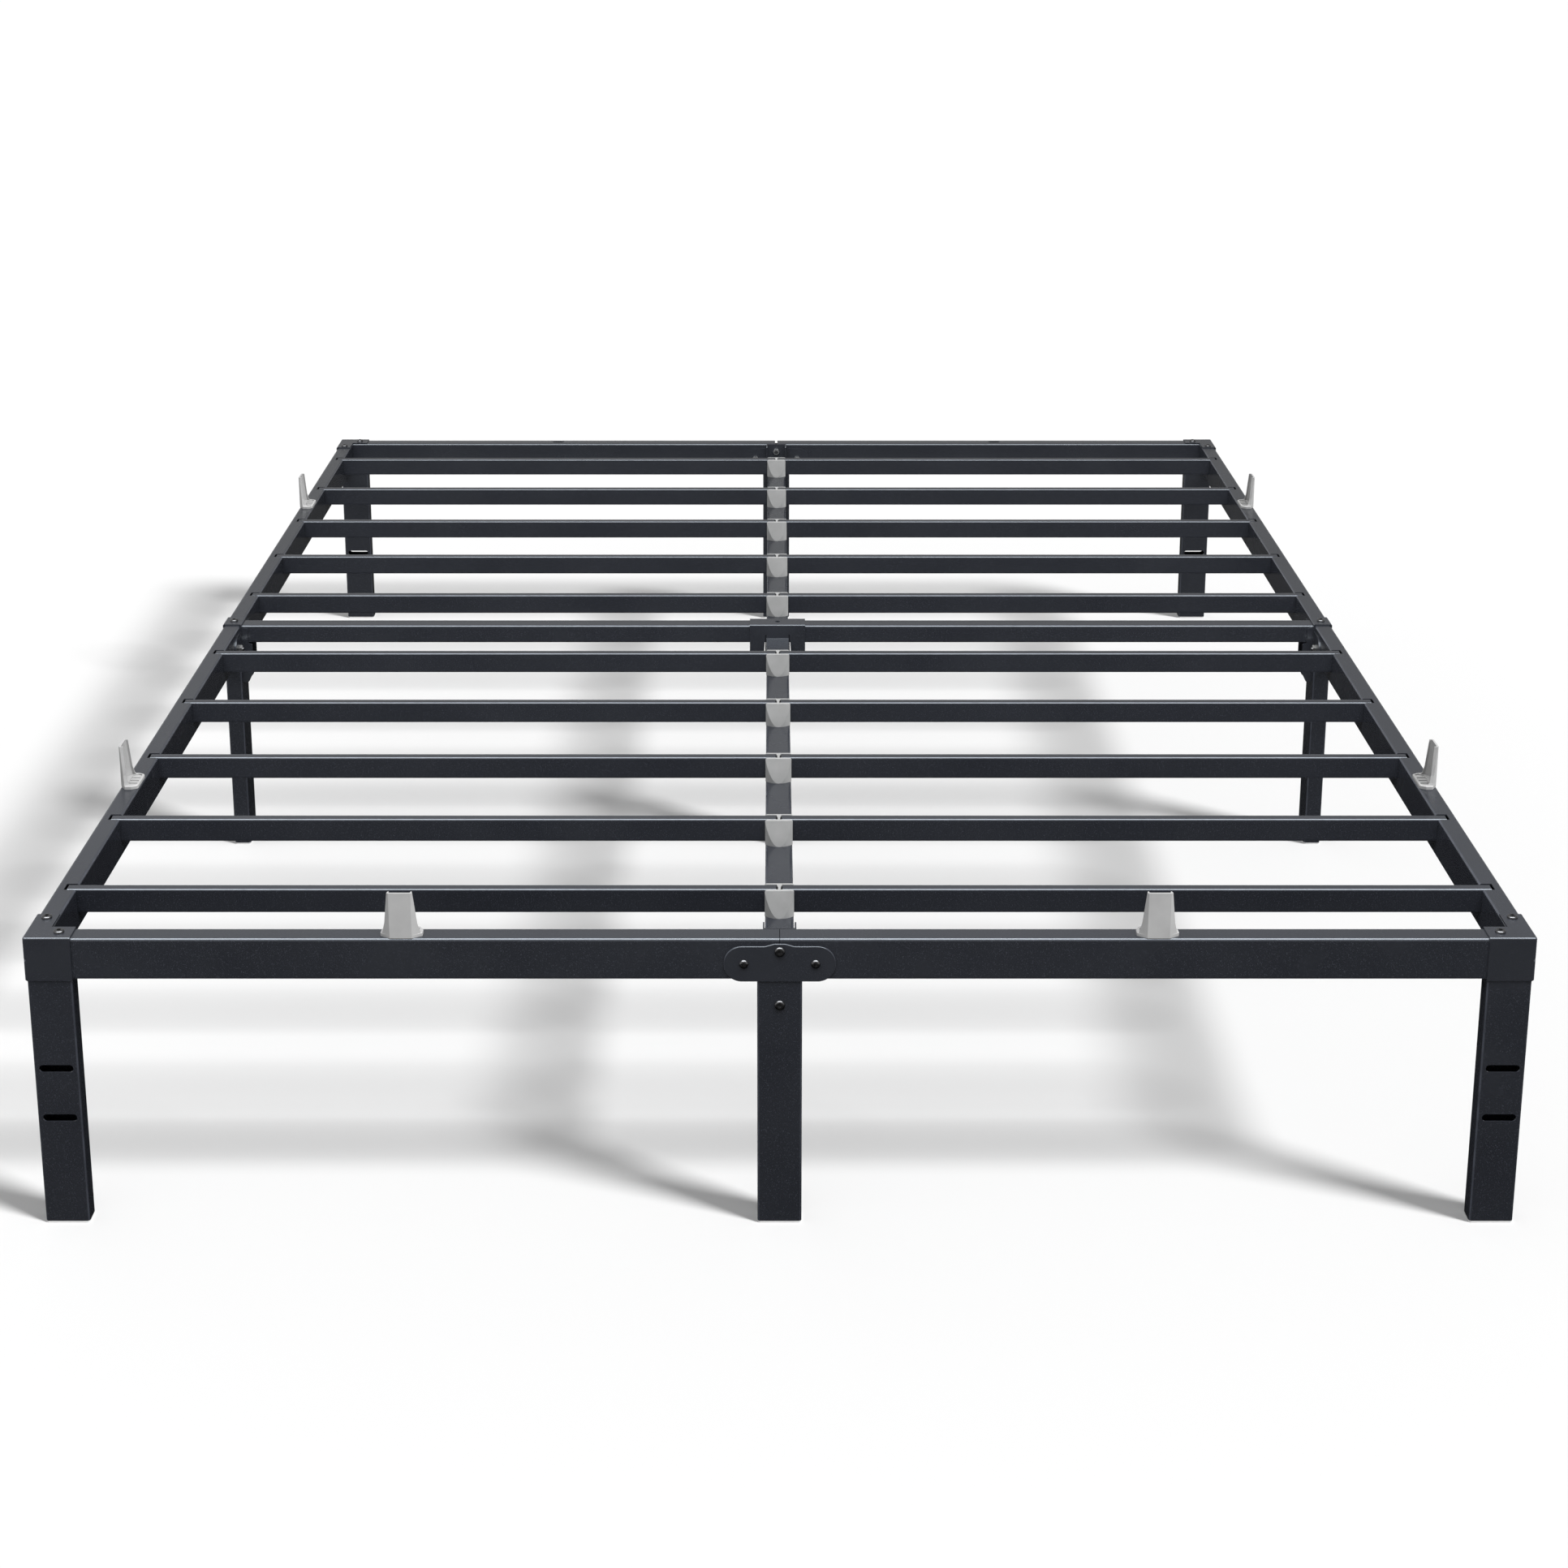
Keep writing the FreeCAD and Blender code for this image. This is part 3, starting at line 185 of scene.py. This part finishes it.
def add_overhead(objects):
    """Broad fill from straight above, for the rims and bases of the plastic pieces."""
    data = bpy.data.lights.new("overhead", "SUN")
    data.energy = OVERHEAD_STRENGTH
    data.angle = OVERHEAD_SOFTNESS
    light = bpy.data.objects.new("overhead", data)
    light.location = (centre.x, centre.y, SOFTBOX_HEIGHT)
    bpy.context.scene.collection.objects.link(light)
    light_only(light, objects)


def room_ramp(tree, height, levels):
    ramp = tree.nodes.new("ShaderNodeValToRGB")
    tree.links.new(height, ramp.inputs["Fac"])
    elements = ramp.color_ramp.elements
    while len(elements) < len(levels):
        elements.new(0.5)
    for element, (level, brightness) in zip(elements, levels):
        element.position = (level + 1) / 2
        element.color = (brightness, brightness, brightness, 1)
    return ramp.outputs["Color"]


def add_world():
    """White horizon under a greyer ceiling, brighter to the left; the camera itself sees plain white."""
    world = bpy.data.worlds.new("studio")
    bpy.context.scene.world = world
    world.use_nodes = True
    tree = world.node_tree
    background = tree.nodes["Background"]
    coords = tree.nodes.new("ShaderNodeTexCoord")
    split = tree.nodes.new("ShaderNodeSeparateXYZ")
    tree.links.new(coords.outputs["Generated"], split.inputs["Vector"])
    height = spread(tree, split.outputs["Z"], 0.0, 1.0, -1.0, 1.0)
    foot = room_ramp(tree, height, ROOM_AT_FOOT)
    head = room_ramp(tree, height, ROOM_AT_HEAD)
    headward = spread(tree, split.outputs["Y"], 0.0, 1.0, -ROOM_LEAN, ROOM_LEAN)
    tree.links.new(blend_colours(tree, headward, foot, head), background.inputs["Color"])
    strength = spread(tree, split.outputs["X"], ROOM_AT_LEFT, ROOM_AT_RIGHT, -ROOM_LEAN, ROOM_LEAN)
    tree.links.new(strength, background.inputs["Strength"])
    backdrop = tree.nodes.new("ShaderNodeBackground")
    backdrop.inputs["Color"].default_value = BACKDROP_COLOUR
    path = tree.nodes.new("ShaderNodeLightPath")
    mix = tree.nodes.new("ShaderNodeMixShader")
    tree.links.new(path.outputs["Is Camera Ray"], mix.inputs["Fac"])
    tree.links.new(background.outputs["Background"], mix.inputs[1])
    tree.links.new(backdrop.outputs["Background"], mix.inputs[2])
    tree.links.new(mix.outputs["Shader"], tree.nodes["World Output"].inputs["Surface"])


def add_floor():
    half = FLOOR_SIZE / 2
    mesh = bpy.data.meshes.new("floor")
    corners = [(-half, -half, 0), (half, -half, 0), (half, half, 0), (-half, half, 0)]
    mesh.from_pydata(corners, [], [(0, 1, 2, 3)])
    floor = bpy.data.objects.new("floor", mesh)
    bpy.context.scene.collection.objects.link(floor)
    material, tree, shader = new_material("floor_white")
    shader.inputs["Base Color"].default_value = FLOOR_COLOUR
    shader.inputs["Roughness"].default_value = 1.0
    shader.inputs["Specular IOR Level"].default_value = 0.0
    mesh.materials.append(material)
    floor.visible_glossy = False
    return floor


def new_material(name):
    material = bpy.data.materials.new(name)
    material.use_nodes = True
    tree = material.node_tree
    return material, tree, tree.nodes["Principled BSDF"]


def noise(tree, coords, scale, detail=USUAL_DETAIL):
    node = tree.nodes.new("ShaderNodeTexNoise")
    node.inputs["Scale"].default_value = scale
    node.inputs["Detail"].default_value = detail
    tree.links.new(coords, node.inputs["Vector"])
    return node.outputs["Fac"]


def spread(tree, value, low, high, from_low=NOISE_LOW, from_high=NOISE_HIGH):
    """Map a noise's usual range, or another given one, to low and high."""
    node = tree.nodes.new("ShaderNodeMapRange")
    node.inputs["From Min"].default_value = from_low
    node.inputs["From Max"].default_value = from_high
    node.inputs["To Min"].default_value = low
    node.inputs["To Max"].default_value = high
    tree.links.new(value, node.inputs["Value"])
    return node.outputs["Result"]


def blend_colours(tree, share, first, second):
    node = tree.nodes.new("ShaderNodeMix")
    node.data_type = "RGBA"
    tree.links.new(share, node.inputs["Factor"])
    for socket, colour in (("A", first), ("B", second)):
        target = [s for s in node.inputs if s.name == socket and s.type == "RGBA"][0]
        if isinstance(colour, tuple):
            target.default_value = (*colour, 1)
        else:
            tree.links.new(colour, target)
    return [s for s in node.outputs if s.type == "RGBA"][0]


def bump(tree, height, distance, strength, normal=None):
    node = tree.nodes.new("ShaderNodeBump")
    node.inputs["Distance"].default_value = distance
    node.inputs["Strength"].default_value = strength
    tree.links.new(height, node.inputs["Height"])
    if normal is not None:
        tree.links.new(normal, node.inputs["Normal"])
    return node.outputs["Normal"]


def object_coords(tree):
    return tree.nodes.new("ShaderNodeTexCoord").outputs["Object"]


def paler(colour, gain):
    return tuple(gain * part for part in colour)


def maths(tree, operation, first, second=None):
    node = tree.nodes.new("ShaderNodeMath")
    node.operation = operation
    tree.links.new(first, node.inputs[0])
    if second is not None:
        tree.links.new(second, node.inputs[1])
    return node.outputs["Value"]


def edge_mask(tree):
    """0 where the surface is square to an axis, as every flat is, rising to 1 on the rounded edges."""
    coords = tree.nodes.new("ShaderNodeTexCoord")
    split = tree.nodes.new("ShaderNodeSeparateXYZ")
    tree.links.new(coords.outputs["Normal"], split.inputs["Vector"])
    sizes = [maths(tree, "ABSOLUTE", split.outputs[axis]) for axis in ("X", "Y", "Z")]
    largest = maths(tree, "MAXIMUM", maths(tree, "MAXIMUM", sizes[0], sizes[1]), sizes[2])
    return spread(tree, largest, 1.0, 0.0, EDGE_FULL, EDGE_NONE)


def powder_coat(name, rough, grain):
    """Charcoal powder coat: fine grain over a soft orange peel, worn thinner and paler along the rounded
    edges, where the paleness is also a painted highlight.
    """
    material, tree, shader = new_material(name)
    coords = object_coords(tree)
    drift = spread(tree, noise(tree, coords, DRIFT_SCALE), 0.0, 1.0)
    colour = blend_colours(tree, drift, COAT_DARK, COAT_LIGHT)
    speck_noise = noise(tree, coords, SPECK_SCALE, SPECK_DETAIL)
    specks = spread(tree, speck_noise, 0.0, 1.0, SPECK_FROM, SPECK_TO)
    colour = blend_colours(tree, specks, colour, paler(COAT_LIGHT, SPECK_PALER))
    # Paler colour in patches on the rounded edges: partly edge wear, partly a painted highlight along
    # every edge.
    patches = spread(tree, noise(tree, coords, WEAR_AND_SHEEN_SCALE), WEAR_AND_SHEEN_LEAST, 1.0, WEAR_AND_SHEEN_FROM, WEAR_AND_SHEEN_TO)
    wear_and_sheen = maths(tree, "MULTIPLY", edge_mask(tree), patches)
    colour = blend_colours(tree, wear_and_sheen, colour, paler(COAT_LIGHT, WEAR_AND_SHEEN_PALER))
    tree.links.new(colour, shader.inputs["Base Color"])
    gloss_noise = noise(tree, coords, GLOSS_DRIFT_SCALE)
    gloss = spread(tree, gloss_noise, rough - COAT_GLOSS_SPREAD, rough + COAT_GLOSS_SPREAD)
    tree.links.new(gloss, shader.inputs["Roughness"])
    shader.inputs["Specular IOR Level"].default_value = COAT_SPECULAR
    shader.inputs["Specular Tint"].default_value = COAT_TINT
    peel = bump(tree, noise(tree, coords, PEEL_SCALE, FINE_DETAIL), PEEL_DEPTH, PEEL_STRENGTH)
    fine = bump(tree, noise(tree, coords, GRAIN_SCALE, FINE_DETAIL), GRAIN_DEPTH, grain, peel)
    tree.links.new(fine, shader.inputs["Normal"])
    return material


def moulded_plastic(name, dark, light, rough):
    """Grey moulded plastic with a faint mottle and the fine texture of its mould."""
    material, tree, shader = new_material(name)
    coords = object_coords(tree)
    mottle = spread(tree, noise(tree, coords, PLASTIC_MOTTLE_SCALE), 0.0, 1.0)
    tree.links.new(blend_colours(tree, mottle, dark, light), shader.inputs["Base Color"])
    gloss_noise = noise(tree, coords, PLASTIC_GLOSS_SCALE)
    gloss = spread(tree, gloss_noise, rough - PLASTIC_GLOSS_SPREAD, rough + PLASTIC_GLOSS_SPREAD)
    tree.links.new(gloss, shader.inputs["Roughness"])
    texture = noise(tree, coords, PLASTIC_SKIN_SCALE, FINE_DETAIL)
    skin = bump(tree, texture, PLASTIC_SKIN_DEPTH, PLASTIC_SKIN_STRENGTH)
    tree.links.new(skin, shader.inputs["Normal"])
    return material


def turned_steel(name, dark, light):
    """Plated steel, a little uneven, with fine turning marks."""
    material, tree, shader = new_material(name)
    coords = object_coords(tree)
    mottle = spread(tree, noise(tree, coords, STEEL_MOTTLE_SCALE), 0.0, 1.0)
    tree.links.new(blend_colours(tree, mottle, dark, light), shader.inputs["Base Color"])
    shader.inputs["Metallic"].default_value = 1.0
    gloss = spread(tree, noise(tree, coords, STEEL_GLOSS_SCALE), STEEL_ROUGH_FROM, STEEL_ROUGH_TO)
    tree.links.new(gloss, shader.inputs["Roughness"])
    turning = noise(tree, coords, STEEL_MARK_SCALE, FINE_DETAIL)
    marks = bump(tree, turning, STEEL_MARK_DEPTH, STEEL_MARK_STRENGTH)
    tree.links.new(marks, shader.inputs["Normal"])
    return material


def node_materials():
    """One material per kind of piece: each coat's roughness and grain, each plastic's roughness last."""
    return {
        "frame": powder_coat("frame_powder_coat", 0.25, 0.12),
        "slat": powder_coat("slat_powder_coat", 0.22, 0.10),
        "spine": powder_coat("spine_powder_coat", 0.27, 0.12),
        "bracket": powder_coat("bracket_powder_coat", 0.28, 0.20),
        "steel": turned_steel("blackened_steel", (0.10, 0.10, 0.103), (0.15, 0.15, 0.154)),
        "zinc": turned_steel("zinc_plated_steel", (0.45, 0.45, 0.45), (0.58, 0.58, 0.57)),
        "clip": moulded_plastic("clip_plastic", (0.205, 0.207, 0.207), (0.24, 0.242, 0.242), 0.36),
        "stop": moulded_plastic("stop_plastic", (0.26, 0.26, 0.26), (0.30, 0.30, 0.30), 0.34),
        "foot": moulded_plastic("foot_plastic", (0.5, 0.5, 0.5), (0.56, 0.56, 0.56), 0.5)}


def material_kind(name):
    if name.startswith("slat_clips"):
        return "clip"
    if name.startswith("slat_"):
        return "slat"
    if name in ("spine_front", "spine_back"):
        return "spine"
    if "bracket" in name or name.startswith("joint_plate") or name == "centre_saddle":
        return "bracket"
    if name in ("socket_screws", "dome_bolts"):
        return "steel"
    if name == "hex_nuts":
        return "zinc"
    if name == "mattress_stops":
        return "stop"
    if name == "foot_caps":
        return "foot"
    return "frame"


def paint_nodes():
    """Give every CAD node its material, and return the metal nodes and the plastic ones."""
    materials = node_materials()
    metal = []
    plastic = []
    for name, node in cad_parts.items():
        kind = material_kind(name)
        for slot in node.material_slots:
            slot.material = materials[kind]
        if kind in ("clip", "stop", "foot"):
            plastic.append(node)
        else:
            metal.append(node)
    return metal, plastic


bpy.context.scene.view_settings.view_transform = "Standard"
add_camera()
add_world()
floor = add_floor()
metal_nodes, plastic_nodes = paint_nodes()
add_key_light([floor] + plastic_nodes)
add_softbox(metal_nodes)
add_overhead(plastic_nodes)
